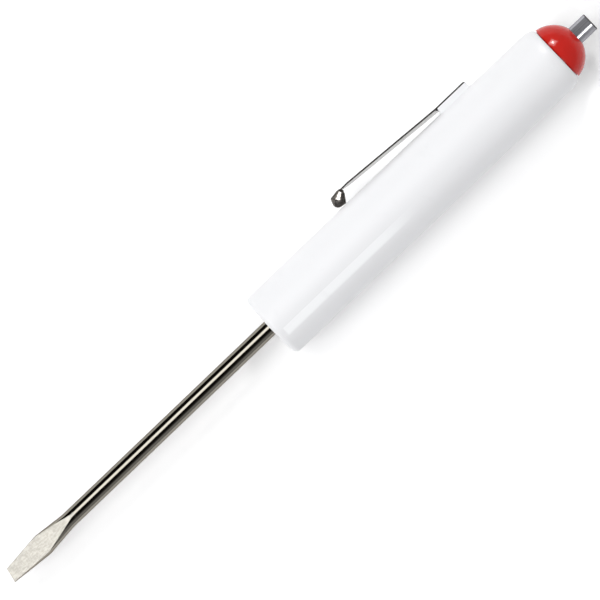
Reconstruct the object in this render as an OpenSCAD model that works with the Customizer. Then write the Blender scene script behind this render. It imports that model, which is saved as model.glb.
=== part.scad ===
// Pocket screwdriver: a round steel blade with a flared, ground flat tip, moulded into a plain
// barrel with a raised clip seat, a domed button that closes the barrel's open end, a plated
// pick-up magnet that stands out of the button, and a spring steel pocket clip that is stapled
// over the seat and ends in a folded bud.
// The tool's axis is X. The tip's end face is at the origin and the magnet points to +X.
// The clip is on the +Y side and Z is up as the tool lies on a table.

/* [Blade] */
// Diameter of the round shank
shank_d = 3.2; // [2.6:0.1:4.4]
// Length of blade that stands out of the barrel
blade_out = 68; // [45:1:110]
// Length of blade held in the barrel
blade_in = 22; // [16:1:24]
// Width of the tip's end
tip_w = 3; // [1.8:0.1:4]
// Thickness of the tip's end
tip_t = 0.6; // [0.4:0.05:1]
// Width of the forged flare at its widest
flare_w = 4.5; // [3.6:0.1:5.6]
// Width of the ground faces at the same place
face_w = 4; // [3.2:0.1:5]
// Distance from the tip's end to the widest place
flare_at = 8.4; // [5:0.1:11]
// Length of the ground faces, from the tip's end to where they run out
grind_len = 16.9; // [13:0.1:24]
// Turn of the blade's flat about the tool's axis
blade_turn = 12; // [-30:1:30]
// Width over the swaged wings that lock the blade in the barrel
wing_w = 5.2; // [4.6:0.1:7]
// Thickness of the swaged wings
wing_t = 1.1; // [0.8:0.1:1.8]
// Length of the swaged wings
wing_len = 5; // [3:0.5:8]

/* [Barrel] */
// Length of the barrel
barrel_len = 74.4; // [68:0.2:100]
// Diameter of the barrel's blade half
barrel_d = 14; // [13:0.1:18]
// Diameter of the barrel at the button's end
barrel_top_d = 13.7; // [13:0.1:18]
// Length of the straight blade half, before the barrel's slight taper
grip_len = 35.5; // [25:0.5:40]
// Radius of the edge at the blade's end
nose_round = 1.1; // [0.4:0.1:2]
// Length of the rounding at the button's end
rim_round_len = 2.3; // [1:0.1:4]
// Radial depth of the rounding at the button's end
rim_round_in = 0.95; // [0.4:0.05:1.2]
// Diameter of the barrel's open bore
bore_d = 9.6; // [8.4:0.1:10.4]
// Depth of the barrel's open bore
bore_len = 46; // [36:1:48]
// Depth of the long shallow flat on the shoulder away from the clip
flat_depth = 0.06; // [0.04:0.01:0.2]
// Length of that flat, from the barrel's blade end
flat_len = 33; // [15:1:34]
// Turn of that flat from straight up, away from the clip
flat_turn = 22; // [10:1:40]

/* [Button] */
// Radius of the dome
dome_r = 6; // [5.6:0.1:6.6]
// Distance from the dome's centre up to the barrel's rim
dome_sink = 0.65; // [0:0.05:1.5]
// Length of the plug in the barrel's bore
plug_len = 9; // [6:0.5:12]
// Radius of the snap bead round the plug
bead_r = 0.3; // [0.2:0.05:0.4]

/* [Magnet] */
// Diameter of the pick-up magnet
magnet_d = 3.8; // [2.8:0.1:5]
// Length of magnet that stands out of the dome
magnet_out = 3.9; // [2:0.1:8]
// Length of magnet held in the button
magnet_in = 9; // [5:0.5:11]
// Chamfer on the magnet's ends
magnet_chamfer = 0.15; // [0.1:0.05:0.4]

/* [Clip] */
// Thickness of the spring steel strip
strip_t = 0.3; // [0.25:0.05:0.6]
// Width of the clip at its root
clip_w = 4.2; // [3.4:0.1:5.2]
// Width of the clip just before its neck
clip_end_w = 3.2; // [2.4:0.1:4]
// Width of the neck that carries the bud
neck_w = 1.2; // [0.8:0.1:1.8]
// Length of the springing arm, from the root to the neck
arm_len = 23.4; // [16:0.2:34]
// Angle at which the arm leaves the barrel
arm_rise = 4.1; // [2:0.1:7]
// Length of the folded bud
bud_len = 3.5; // [2.5:0.1:4]
// Diameter of the folded bud
bud_d = 3.1; // [2:0.1:3.6]
// Angle at which the bud points in towards the barrel
bud_dip = 32; // [15:1:34]
// Distance from the barrel's rim to the clip's root
clip_back = 23.6; // [20:0.2:30]
// Height of the moulded clip seat over the barrel's side
seat_h = 0.85; // [0.5:0.05:1.5]
// Length of the moulded clip seat
seat_len = 6.6; // [5:0.1:9]
// Turn of the clip about the tool's axis, up from the side where above 0 and down where below
clip_turn = -8; // [-20:1:20]

/* [Hidden] */
$fn = 96;
over = 0.5;                                     // overrun of every cut
fit = 0.02;                                     // clearance where pieces are pressed together
forge_step = 0.05;                              // step where the forged tip meets the round wire
wire_bite = 0.1;                                // length of forged tip inside the round wire
slot_fit = 0.1;                                 // clearance round the clip's tabs in their slots
barrel_x = blade_out;                           // the barrel's blade end
rim_x = barrel_x + barrel_len;                  // the barrel's rim
shank_r = shank_d / 2;
barrel_r = barrel_d / 2;
rim_r = barrel_top_d / 2 - rim_round_in;        // outer radius of the rim's flat land
bore_r = bore_d / 2;
plug_r = bore_r - fit;
plug_lead = 2 * bead_r;                         // chamfer on the plug's leading edge
bead_share = 2 / 3;                             // the bead's place along the plug, from the rim
bead_x = rim_x - plug_len * bead_share;
dome_x = rim_x - dome_sink;                     // the dome's centre
magnet_r = magnet_d / 2;
magnet_foot_x = dome_x + sqrt(dome_r * dome_r - magnet_r * magnet_r) - magnet_in;
magnet_end_x = magnet_foot_x + magnet_in + magnet_out;
arc_steps = 8;                                  // straight steps in a quarter round

// The blade's wings lie close to its inner end.
wing_x = barrel_x + blade_in - wing_len - shank_d;
blade_end_x = barrel_x + blade_in;

// The clip is drawn in the plane of X and Y and lies on the barrel's +Y side.
seat_y = barrel_r + seat_h;                     // the strip's underside at the root
strip_y = seat_y + strip_t;                     // the strip's outer face at the root
root_x = rim_x - clip_back;                     // where the springing arm starts
tab_x = root_x + strip_t / 2;                   // front face of the front tab
seat_x = tab_x + strip_t + slot_fit;
bend_r = 1.5 * strip_t;                         // inner radius of the clip's bends
rear_x = seat_x + seat_len + slot_fit;          // inner face of the rear tab
tab_share = 0.62;                               // width of the tabs as a share of the clip's
tab_w = clip_w * tab_share;
seat_w = clip_w + strip_t;
foot_share = 0.9;                               // the seat's foot, as a share of the barrel's radius
leg_len = seat_len / 5;                         // length of each clinched leg
// The clinched legs lie just inside the bore's curved wall.
leg_y = sqrt(bore_r * bore_r - tab_w * tab_w / 4) - slot_fit;
// The front tab is a tongue cut and bent out of the strip, and leaves a window of its length.
tongue_len = seat_y - leg_y + leg_len;

// Points along a quarter round: centre, radii along x and y, first and last angle.
function arc(cx, cy, rx, ry, a0, a1, n = arc_steps) =
    [for (i = [0:n]) let (a = a0 + (a1 - a0) * i / n) [cx + rx * cos(a), cy + ry * sin(a)]];

// A strip's outline: its centre line moved to both sides by half its thickness.
function side_of(path, i, d) =
    let (
        p = path[max(i - 1, 0)],
        q = path[min(i + 1, len(path) - 1)],
        run = norm(q - p)
    )
    path[i] + d * [p[1] - q[1], q[0] - p[0]] / run;
function ribbon(path, t) = concat(
    [for (i = [0:len(path) - 1]) side_of(path, i, t / 2)],
    [for (i = [len(path) - 1:-1:0]) side_of(path, i, -t / 2)]
);

// Turns an outline of [radius, place along the tool] into a solid about the tool's axis.
module turned(outline) {
    rotate([0, 90, 0])
        rotate_extrude()
            polygon(outline);
}

// A rod along the tool's axis.
module rod(r, from, to) {
    translate([from, 0, 0])
        rotate([0, 90, 0])
            cylinder(r = r, h = to - from);
}

// A block about the tool's axis: from and to along X, then the full sizes along Y and Z.
module block(from, to, y, z) {
    translate([from, -y / 2, -z / 2])
        cube([to - from, y, z]);
}

// A plate of the given width, upright on an outline in the plane of X and Y.
module plate(outline, width) {
    translate([0, 0, -width / 2])
        linear_extrude(height = width)
            polygon(outline);
}

// The forged tip, as rings of points along the blade. Each ring is a wire of oval section, cut
// level by the two ground faces.
flare_rings = 6;
taper_rings = 14;
flank_steps = 6;
// The grinding runs out just before its full length, where the faces are almost gone.
run_out_share = 0.98;
tip_end = grind_len * run_out_share;
// The flare has narrowed to the shank at this share of the way from its corner to the run-out.
neck_share = 0.8;
neck_at = flare_at + (tip_end - flare_at) * neck_share;
// Width of the faces at the tip's end, and their widest, as shares of the blade's width there.
tip_face_share = 0.95;
face_limit_share = 0.97;
// Bow of the faces' edges as they close to a point: 1 would be straight.
face_bow = 0.88;
// Share of the wire's height that is left between the faces in the last ring.
last_share = 0.985;
// The last ring lies just inside the round shank.
wire_r = shank_r - forge_step;
// Half the width: straight out to the flare's corner, then straight in to the shank.
function half_w(x) = lookup(x, [[0, tip_w / 2], [flare_at, flare_w / 2], [neck_at, wire_r]]);
// Half the width of the ground faces.
function half_face(x) = x < flare_at
    ? lookup(x, [[0, tip_w / 2 * tip_face_share], [flare_at, face_w / 2]])
    : face_w / 2 * pow((grind_len - x) / (grind_len - flare_at), face_bow);
// Half the thickness between the ground faces.
function half_t(x) = tip_t / 2 + (wire_r * last_share - tip_t / 2) * x / tip_end;
function ring(x) =
    let (
        w = half_w(x),
        rise = acos(min(half_face(x) / w, face_limit_share)),
        edge = w * cos(rise),
        t = half_t(x),
        h = t / sin(rise)
    )
    concat(
        [[x, edge, t]],
        [for (i = [0:flank_steps - 1]) let (a = 180 - rise + 2 * rise * i / flank_steps)
            [x, w * cos(a), h * sin(a)]],
        [[x, -edge, -t]],
        [for (i = [0:flank_steps - 1]) let (a = -rise + 2 * rise * i / flank_steps)
            [x, w * cos(a), h * sin(a)]]
    );
tip_places = concat(
    [for (i = [0:flare_rings - 1]) flare_at * i / flare_rings],
    [for (i = [0:taper_rings]) flare_at + (tip_end - flare_at) * i / taper_rings]
);

// Closes a stack of equal rings into a solid.
module loft(rings) {
    n = len(rings[0]);
    last = len(rings) - 1;
    polyhedron(
        points = [for (r = rings) each r],
        faces = concat(
            [[for (i = [0:n - 1]) i]],
            [for (k = [0:last - 1], i = [0:n - 1]) let (a = k * n + i, b = k * n + (i + 1) % n)
                [a, a + n, b]],
            [for (k = [0:last - 1], i = [0:n - 1]) let (a = k * n + i, b = k * n + (i + 1) % n)
                [b, a + n, b + n]],
            [[for (i = [n - 1:-1:0]) last * n + i]]
        )
    );
}

module wings(extra) {
    block(wing_x - extra, wing_x + wing_len + extra, wing_w + 2 * extra, wing_t + 2 * extra);
}

module blade() {
    color([0.72, 0.70, 0.66])
        rotate([-blade_turn, 0, 0]) {
            loft([for (x = tip_places) ring(x)]);
            rod(shank_r, tip_end - wire_bite, blade_end_x);
            wings(0);
        }
}

// The barrel's outside: a small round at the blade's end, a straight half, a slight taper and
// a long soft rounding down to the rim's flat land.
barrel_outline = concat(
    [[0, barrel_x]],
    arc(barrel_r - nose_round, barrel_x + nose_round, nose_round, nose_round, -90, 0),
    [[barrel_r, barrel_x + grip_len]],
    arc(rim_r, rim_x - rim_round_len, rim_round_in, rim_round_len, 0, 90),
    [[0, rim_x]]
);

// The clip seat: a raised block with rounded ends that the clip's staple straddles.
module clip_seat() {
    top = seat_y;
    end_round = bend_r;
    foot = barrel_r * foot_share;
    rotate([clip_turn, 0, 0])
        plate(
            concat(
                [[seat_x, foot], [seat_x, top]],
                arc(seat_x + seat_len - end_round, top - end_round, end_round, end_round, 90, 0),
                [[seat_x + seat_len, foot]]
            ),
            seat_w
        );
}

// A slot through the barrel's wall for one tab of the clip.
module tab_slot(from) {
    rotate([clip_turn, 0, 0])
        translate([from - slot_fit, 0, -tab_w / 2 - slot_fit])
            cube([strip_t + 2 * slot_fit, barrel_r + over, tab_w + 2 * slot_fit]);
}

// The long shallow flat, square to a line turned away from the clip.
module shoulder_flat() {
    rotate([flat_turn, 0, 0])
        translate([barrel_x - over, -barrel_r, barrel_r - flat_depth])
            cube([flat_len + over, barrel_d, over + flat_depth]);
}

module barrel() {
    color([0.93, 0.93, 0.94])
        difference() {
            union() {
                turned(barrel_outline);
                clip_seat();
            }
            rod(bore_r, rim_x - bore_len, rim_x + over);
            turned([[0, bead_x - bead_r], [bore_r, bead_x - bead_r],
                [bore_r + bead_r, bead_x], [bore_r, bead_x + bead_r], [0, bead_x + bead_r]]);
            rotate([-blade_turn, 0, 0]) {
                rod(shank_r + fit, barrel_x - over, blade_end_x + fit);
                wings(fit);
            }
            tab_slot(tab_x);
            tab_slot(rear_x);
            shoulder_flat();
        }
}

// A dome on a plug, turned from its half section, with a blind hole for the magnet. The plug's
// bead snaps into a groove in the barrel's bore.
module button() {
    color([0.80, 0.13, 0.11])
        rotate([0, 90, 0])
            rotate_extrude()
                difference() {
                    union() {
                        intersection() {
                            translate([0, dome_x])
                                circle(r = dome_r);
                            translate([0, rim_x])
                                square([dome_r + over, dome_r + over]);
                        }
                        polygon([[0, rim_x - plug_len], [plug_r - plug_lead, rim_x - plug_len],
                            [plug_r, rim_x - plug_len + plug_lead], [plug_r, bead_x - bead_r],
                            [plug_r + bead_r, bead_x], [plug_r, bead_x + bead_r],
                            [plug_r, rim_x], [0, rim_x]]);
                    }
                    translate([0, magnet_foot_x])
                        square([magnet_r + fit, magnet_in + dome_r]);
                }
}

module magnet() {
    color([0.62, 0.64, 0.67])
        turned([[0, magnet_foot_x], [magnet_r - magnet_chamfer, magnet_foot_x],
            [magnet_r, magnet_foot_x + magnet_chamfer], [magnet_r, magnet_end_x - magnet_chamfer],
            [magnet_r - magnet_chamfer, magnet_end_x], [0, magnet_end_x]]);
}

// The root: a strip on the seat, a lanced tab in front of it and a bent tab behind it, each
// through the barrel's wall and clinched under it.
module clip_root() {
    mid_r = bend_r + strip_t / 2;
    mid_y = seat_y + strip_t / 2;
    strip_end = rear_x - bend_r;
    leg_mid_y = leg_y - strip_t / 2;
    front_mid = tab_x + strip_t / 2;
    rear_mid = rear_x + strip_t / 2;
    color([0.55, 0.54, 0.52])
        rotate([clip_turn, 0, 0]) {
            plate(
                ribbon(
                    concat(
                        [[root_x, mid_y]],
                        arc(strip_end, mid_y - mid_r, mid_r, mid_r, 90, 30)
                    ),
                    strip_t
                ),
                clip_w
            );
            plate(
                ribbon(
                    concat(
                        arc(strip_end, mid_y - mid_r, mid_r, mid_r, 60, 0),
                        arc(rear_mid - strip_t, leg_mid_y + strip_t, strip_t, strip_t, 0, -90),
                        [[rear_mid - strip_t - leg_len, leg_mid_y]]
                    ),
                    strip_t
                ),
                tab_w
            );
            plate(
                ribbon(
                    concat(
                        [[front_mid, mid_y]],
                        arc(front_mid + strip_t, leg_mid_y + strip_t, strip_t, strip_t, 180, 270),
                        [[front_mid + strip_t + leg_len, leg_mid_y]]
                    ),
                    strip_t
                ),
                tab_w
            );
        }
}

// The bud's outline from its neck to its blunt end, as shares of its length and its radius.
bud_shares = [[0, 0.24], [0.16, 0.36], [0.34, 0.68], [0.5, 0.9], [0.62, 1], [0.74, 0.94],
    [0.88, 0.62], [0.97, 0.36], [1, 0.26]];

// The four seams where the bud's petals meet: where their floor lies, as a share of the bud's
// radius, and how far they run, as a share of its length.
seam_floor_share = 0.72;
seam_run_share = 0.9;

// A bud folded from sheet: a turned body with four seams.
module bud() {
    seam = strip_t / 3;
    r = bud_d / 2;
    difference() {
        rotate([0, -90, 0])
            rotate_extrude()
                polygon(concat(
                    [[0, 0]],
                    [for (s = bud_shares) [s[1] * r, s[0] * bud_len]],
                    [[0, bud_len]]
                ));
        for (a = [45:90:315])
            rotate([a, 0, 0])
                translate([-bud_len - over, -seam / 2, r * seam_floor_share])
                    cube([bud_len * seam_run_share + over, seam, r]);
    }
}

// The window that the tongue leaves in the strip, in front of the root.
module tongue_window() {
    translate([root_x - tongue_len, seat_y - over, -tab_w / 2 - slot_fit])
        cube([tongue_len + over, strip_t + arm_len * sin(arm_rise) + over, tab_w + 2 * slot_fit]);
}

// The springing arm narrows from the root to a neck and ends in the bud. In front of the root it
// is two rails, one on each side of the tongue's window.
module clip_arm() {
    arm_run = arm_len * cos(arm_rise);
    arm_up = arm_len * sin(arm_rise);
    neck_x = root_x - arm_run;
    neck_y = strip_y - strip_t / 2 + arm_up;
    shoulder = clip_end_w / 2;
    color([0.50, 0.49, 0.47])
        rotate([clip_turn, 0, 0]) {
            difference() {
                intersection() {
                    plate(
                        [[root_x, strip_y], [root_x, seat_y],
                            [neck_x - neck_w, neck_y - strip_t / 2 + neck_w * tan(arm_rise)],
                            [neck_x - neck_w, neck_y + strip_t / 2 + neck_w * tan(arm_rise)]],
                        clip_w + over
                    );
                    translate([0, strip_y + arm_up + over, 0])
                        rotate([90, 0, 0])
                            linear_extrude(height = arm_up + strip_t + 2 * over)
                                polygon([[root_x, clip_w / 2], [root_x, -clip_w / 2],
                                    [neck_x + shoulder, -clip_end_w / 2],
                                    [neck_x, -neck_w / 2], [neck_x - neck_w, -neck_w / 2],
                                    [neck_x - neck_w, neck_w / 2], [neck_x, neck_w / 2],
                                    [neck_x + shoulder, clip_end_w / 2]]);
                }
                tongue_window();
            }
            translate([neck_x, neck_y, 0])
                rotate([0, 0, bud_dip])
                    bud();
        }
}

blade();
barrel();
button();
magnet();
clip_root();
clip_arm();
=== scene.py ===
"""Pocket screwdriver with a magnet end and a spring clip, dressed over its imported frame.

The tool's axis is X, from the blade's tip at the origin to the magnet. The clip is on the +Y
side and Z is up. Every length is in metres, and every angle is in degrees unless a line says
otherwise.
"""

import logging
import math
from dataclasses import dataclass, field
from enum import Enum
from typing import Callable, Optional, Sequence

import bmesh
import bpy
import numpy as np
from mathutils import Matrix, Vector

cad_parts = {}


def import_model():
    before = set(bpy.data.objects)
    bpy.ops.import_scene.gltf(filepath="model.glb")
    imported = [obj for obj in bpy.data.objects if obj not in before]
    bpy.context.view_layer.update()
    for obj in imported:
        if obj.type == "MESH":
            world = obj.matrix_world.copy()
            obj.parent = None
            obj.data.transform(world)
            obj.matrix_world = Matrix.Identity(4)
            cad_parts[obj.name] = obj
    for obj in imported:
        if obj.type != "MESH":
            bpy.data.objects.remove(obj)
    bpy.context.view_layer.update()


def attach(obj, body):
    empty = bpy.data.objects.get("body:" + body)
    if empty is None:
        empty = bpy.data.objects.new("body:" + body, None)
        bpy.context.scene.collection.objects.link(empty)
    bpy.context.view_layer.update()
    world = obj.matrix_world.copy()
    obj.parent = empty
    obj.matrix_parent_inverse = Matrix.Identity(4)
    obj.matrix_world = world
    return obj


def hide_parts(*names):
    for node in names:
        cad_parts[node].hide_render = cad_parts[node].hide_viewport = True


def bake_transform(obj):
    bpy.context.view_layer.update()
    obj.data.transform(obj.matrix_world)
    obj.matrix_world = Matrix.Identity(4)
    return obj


log = logging.getLogger("pocket_screwdriver")

MM = 0.001
Colour = tuple[float, float, float]
WHITE: Colour = (1.0, 1.0, 1.0)
BLACK: Colour = (0.0, 0.0, 0.0)


class Side(Enum):
    """The bodies of the frame that a piece can ride on."""

    HANDLE = "handle"
    CLIP = "clip"


class Slot(Enum):
    """The record's material slots."""

    BLADE = "blade_steel"
    BARREL = "barrel_plastic"
    BUTTON = "button_plastic"
    MAGNET = "magnet_plating"
    CLIP = "clip_steel"


@dataclass(frozen=True)
class Tool:
    """The driving sizes that more than one piece or finish follows.

    A turn is an angle about the tool's axis, from +Y towards +Z, and fit is the gap between
    pieces that are pressed together.
    """

    length: float = 151.341 * MM
    shank_r: float = 1.6 * MM
    blade_out: float = 68.0 * MM
    blade_in: float = 22.0 * MM
    barrel_len: float = 74.4 * MM
    barrel_r: float = 7.0 * MM
    bore_r: float = 4.8 * MM
    flat_turn: float = 112.0
    magnet_r: float = 1.9 * MM
    magnet_len: float = 12.9 * MM
    seat_top: float = 7.85 * MM
    clip_back: float = 23.6 * MM
    clip_turn: float = -8.0
    fit: float = 0.02 * MM

    @property
    def rim(self) -> float:
        """The barrel's rim: the length of blade that stands out plus the barrel's length."""
        return self.blade_out + self.barrel_len

    @property
    def clip_root(self) -> float:
        """Where the clip's arm leaves its seat: the barrel's rim less the clip's way back."""
        return self.rim - self.clip_back

    @property
    def magnet_foot(self) -> float:
        """The magnet's inner end: the tool's length less the magnet's."""
        return self.length - self.magnet_len


TOOL = Tool()


# Shapes as arrays


def smooth(t: np.ndarray) -> np.ndarray:
    """Cubic ease from 0 to 1: 3 t squared less 2 t cubed, with t held between 0 and 1."""
    held = np.clip(t, 0.0, 1.0)
    return held * held * (3.0 - 2.0 * held)


def arc(centre: tuple[float, float], radii: tuple[float, float], angles: tuple[float, float],
        count: int) -> np.ndarray:
    """Points on a stretch of an ellipse: centre plus each radius times cosine or sine.

    Args:
        centre: The ellipse's centre.
        radii: Its radii along the first and second axis.
        angles: First and last angle.
        count: Number of points.

    Returns:
        An array of count rows and two columns.
    """
    a = np.radians(np.linspace(angles[0], angles[1], count))
    return np.column_stack([centre[0] + radii[0] * np.cos(a), centre[1] + radii[1] * np.sin(a)])


def spans(*stretches: tuple[float, float, int]) -> np.ndarray:
    """Joins evenly divided stretches, each given by its ends and its number of steps."""
    parts = [np.linspace(a, b, n, endpoint=False) for a, b, n in stretches]
    return np.concatenate(parts)


def about_axis(x: np.ndarray, r: np.ndarray, angle: np.ndarray) -> np.ndarray:
    """Points round the tool's axis: y is r cosine and z is r sine of an angle in radians."""
    return np.stack([x, r * np.cos(angle), r * np.sin(angle)], axis=-1)


def turned_about_x(points: np.ndarray, turn: float) -> np.ndarray:
    """Turns points about the tool's axis, from +Y towards +Z.

    The new y is y cosine less z sine, and the new z is y sine plus z cosine.

    Args:
        points: An array with the coordinates last.
        turn: The angle.

    Returns:
        The turned points.
    """
    c, s = math.cos(math.radians(turn)), math.sin(math.radians(turn))
    y, z = points[..., 1], points[..., 2]
    return np.stack([points[..., 0], c * y - s * z, s * y + c * z], axis=-1)


def swept_sheet(line: np.ndarray, across: np.ndarray) -> np.ndarray:
    """Points of a sheet: each is a place on a line, moved level and square to it.

    Args:
        line: Rows of x and y.
        across: Distances from the line, as one row for each of its rows or one row for all.

    Returns:
        A grid of points.
    """
    across = np.broadcast_to(across, (len(line), across.shape[-1]))
    places = [np.broadcast_to(line[:, [k]], across.shape) for k in (0, 1)]
    return np.stack([*places, across], axis=-1)


def sheet_faces(number: np.ndarray) -> np.ndarray:
    """Four-sided faces between neighbours in a grid of vertex numbers."""
    return np.stack([number[:-1, :-1], number[1:, :-1], number[1:, 1:], number[:-1, 1:]], axis=-1)


def make_mesh(name: str, points: np.ndarray, faces: Sequence[Sequence[int]],
              crease: float = 35.0) -> bpy.types.Object:
    """Makes an object at the origin from points and faces, with points that coincide joined.

    Args:
        name: The object's name.
        points: One row a vertex.
        faces: Vertex numbers of each face, anticlockwise seen from outside.
        crease: Edges that turn by more than this angle stay sharp.

    Returns:
        The new object, smooth shaded.
    """
    mesh = bpy.data.meshes.new(name)
    mesh.from_pydata(points.reshape(-1, 3).tolist(), [], [list(f) for f in faces])
    work = bmesh.new()
    work.from_mesh(mesh)
    bmesh.ops.remove_doubles(work, verts=work.verts, dist=0.0001 * MM)
    work.to_mesh(mesh)
    work.free()
    mesh.validate()
    mesh.shade_smooth()
    mesh.set_sharp_from_angle(angle=math.radians(crease))
    made = bpy.data.objects.new(name, mesh)
    bpy.context.scene.collection.objects.link(made)
    return made


def tube(name: str, rings: np.ndarray, crease: float = 35.0) -> bpy.types.Object:
    """Closes a stack of rings into a solid, with a fan of faces to the middle of each end ring.

    Args:
        name: The object's name.
        rings: Rows of rings, each a row of points, running so that the faces point outwards.
        crease: Angle above which edges stay sharp.

    Returns:
        The new object.
    """
    rows, columns = rings.shape[:2]
    number = np.arange(rows * columns).reshape(rows, columns)
    number = np.concatenate([number, number[:, :1]], axis=1)
    middle = np.full(columns, rows * columns)
    low = np.stack([middle, number[0, :-1], number[0, 1:]], axis=-1)
    high = np.stack([middle + 1, number[-1, 1:], number[-1, :-1]], axis=-1)
    points = np.concatenate([rings.reshape(-1, 3), rings[:1].mean(axis=1), rings[-1:].mean(axis=1)])
    faces = [*sheet_faces(number).reshape(-1, 4).tolist(), *low.tolist(), *high.tolist()]
    return make_mesh(name, points, faces, crease)


def turned_piece(name: str, outline: np.ndarray,
                 stretches: Sequence[tuple[float, float, int]], crease: float = 35.0,
                 shape: Optional[Callable[[np.ndarray, np.ndarray, np.ndarray], np.ndarray]] = None,
                 ) -> bpy.types.Object:
    """Turns an outline about the tool's axis.

    Each point of the outline is a place x and a radius r. At each angle it becomes x, r cos, r sin.

    Args:
        name: The object's name.
        outline: Rows of x and r. Each end closes on the axis, level with its first or last row.
        stretches: The angles of its columns, as spans takes them, in rising order.
        crease: Angle above which edges stay sharp.
        shape: Changes the radii, given x, r and angle in radians as grids.

    Returns:
        The new object.
    """
    angles = np.radians(spans(*stretches))
    x, angle = np.meshgrid(outline[:, 0], angles, indexing="ij")
    r = np.meshgrid(outline[:, 1], angles, indexing="ij")[0]
    if shape is not None:
        r = shape(x, r, angle)
    return tube(name, about_axis(x, r, angle)[:, ::-1], crease)


def face_values(piece: bpy.types.Object, value: str) -> np.ndarray:
    """Reads a vector of every face.

    Args:
        piece: The object.
        value: The vector's name in the mesh, center or normal.

    Returns:
        One row a face.
    """
    faces = piece.data.polygons
    values = np.zeros(len(faces) * 3)
    faces.foreach_get(value, values)
    return values.reshape(-1, 3)


def paint(piece: bpy.types.Object, numbers: np.ndarray) -> None:
    """Gives every face a material by its number among the piece's materials."""
    piece.data.polygons.foreach_set("material_index", numbers.astype(np.int32))


# Finishes


class Tree:
    """Adds and joins the nodes of one node tree, laid out from left to right in short slopes."""

    column_width = 190.0
    row_height = 60.0
    slope_columns = 5

    def __init__(self, data: bpy.types.NodeTree) -> None:
        """Keeps the tree and starts its first column."""
        self.data = data
        self.column = 0

    def add(self, kind: str, **settings: object) -> bpy.types.Node:
        """Adds a node.

        Args:
            kind: The node's type.
            **settings: Properties of the node, or values of its input sockets by name, with a
                space in a socket's name written as an underscore.

        Returns:
            The node.
        """
        made = self.data.nodes.new(kind)
        made.location = (self.column * self.column_width,
                         -self.row_height * (self.column % self.slope_columns))
        self.column += 1
        sockets = {s.name.replace(" ", "_"): s for s in made.inputs if s.enabled}
        for key, value in settings.items():
            if key in sockets:
                sockets[key].default_value = value
            else:
                setattr(made, key, value)
        return made

    def join(self, source: bpy.types.NodeSocket, target: bpy.types.NodeSocket) -> None:
        """Joins an output to an input."""
        self.data.links.new(source, target)

    def feed(self, target: bpy.types.NodeSocket, value: object) -> None:
        """Gives an input its value.

        Args:
            target: The input.
            value: An output to join to it, or the input's own constant.
        """
        if isinstance(value, bpy.types.NodeSocket):
            self.join(value, target)
        else:
            target.default_value = value

    def place(self, space: str) -> bpy.types.NodeSocket:
        """Adds a Texture Coordinate node and returns its output of that name."""
        return self.add("ShaderNodeTexCoord").outputs[space]

    def parts(self, vector: bpy.types.NodeSocket) -> bpy.types.NodeOutputs:
        """Parts a vector.

        Args:
            vector: The vector.

        Returns:
            Outputs named X, Y and Z.
        """
        made = self.add("ShaderNodeSeparateXYZ")
        self.join(vector, made.inputs[0])
        return made.outputs

    def calc(self, operation: str, first: object, second: object = 0.0) -> bpy.types.NodeSocket:
        """Adds a Math node.

        Args:
            operation: What it does.
            first: Its first input, an output or a number.
            second: Its second input, likewise.

        Returns:
            Its result.
        """
        made = self.add("ShaderNodeMath", operation=operation)
        self.feed(made.inputs[0], first)
        self.feed(made.inputs[1], second)
        return made.outputs[0]

    def spread(self, value: bpy.types.NodeSocket, low: float, high: float, out_low: float = 0.0,
               out_high: float = 1.0) -> bpy.types.NodeSocket:
        """Maps a range to another, eased and held at both ends.

        Args:
            value: The value to map.
            low: Where the result is out_low.
            high: Where the result is out_high. It may be less than low.
            out_low: The result at low.
            out_high: The result at high.

        Returns:
            The mapped value.
        """
        made = self.add("ShaderNodeMapRange", clamp=True, interpolation_type="SMOOTHSTEP")
        for name, number in (("From Min", low), ("From Max", high), ("To Min", out_low),
                             ("To Max", out_high)):
            made.inputs[name].default_value = number
        self.join(value, made.inputs["Value"])
        return made.outputs["Result"]

    def tint(self, factor: bpy.types.NodeSocket, first: object, second: object
             ) -> bpy.types.NodeSocket:
        """Mixes two colours.

        Args:
            factor: How much of the second colour shows.
            first: The colour at 0, an output or a Colour.
            second: The colour at 1, likewise.

        Returns:
            The mixed colour.
        """
        made = self.add("ShaderNodeMix", data_type="RGBA")
        self.join(factor, made.inputs[0])
        for socket, value in ((made.inputs[6], first), (made.inputs[7], second)):
            self.feed(socket, (*value, 1.0) if isinstance(value, tuple) else value)
        return made.outputs[2]


@dataclass(frozen=True)
class Grain:
    """A fine grain: its waves a metre along and across the tool, and its detail."""

    along: float
    across: float
    detail: float = 3.0


@dataclass(frozen=True)
class Marks:
    """Handling marks: their waves a metre, their threshold and the roughness that they add."""

    scale: float
    cover: float
    roughness: float


def new_group(name: str, inputs: Sequence[str], output: str) -> tuple[Tree, bpy.types.Node]:
    """Makes a node group with plain numbers as inputs and one number as output.

    Args:
        name: The group's name.
        inputs: The names of its inputs.
        output: The name of its output.

    Returns:
        The group's tree and the node that its inputs come from.
    """
    group = bpy.data.node_groups.new(name, "ShaderNodeTree")
    for socket in inputs:
        group.interface.new_socket(name=socket, in_out="INPUT", socket_type="NodeSocketFloat")
    group.interface.new_socket(name=output, in_out="OUTPUT", socket_type="NodeSocketFloat")
    tree = Tree(group)
    return tree, tree.add("NodeGroupInput")


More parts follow.
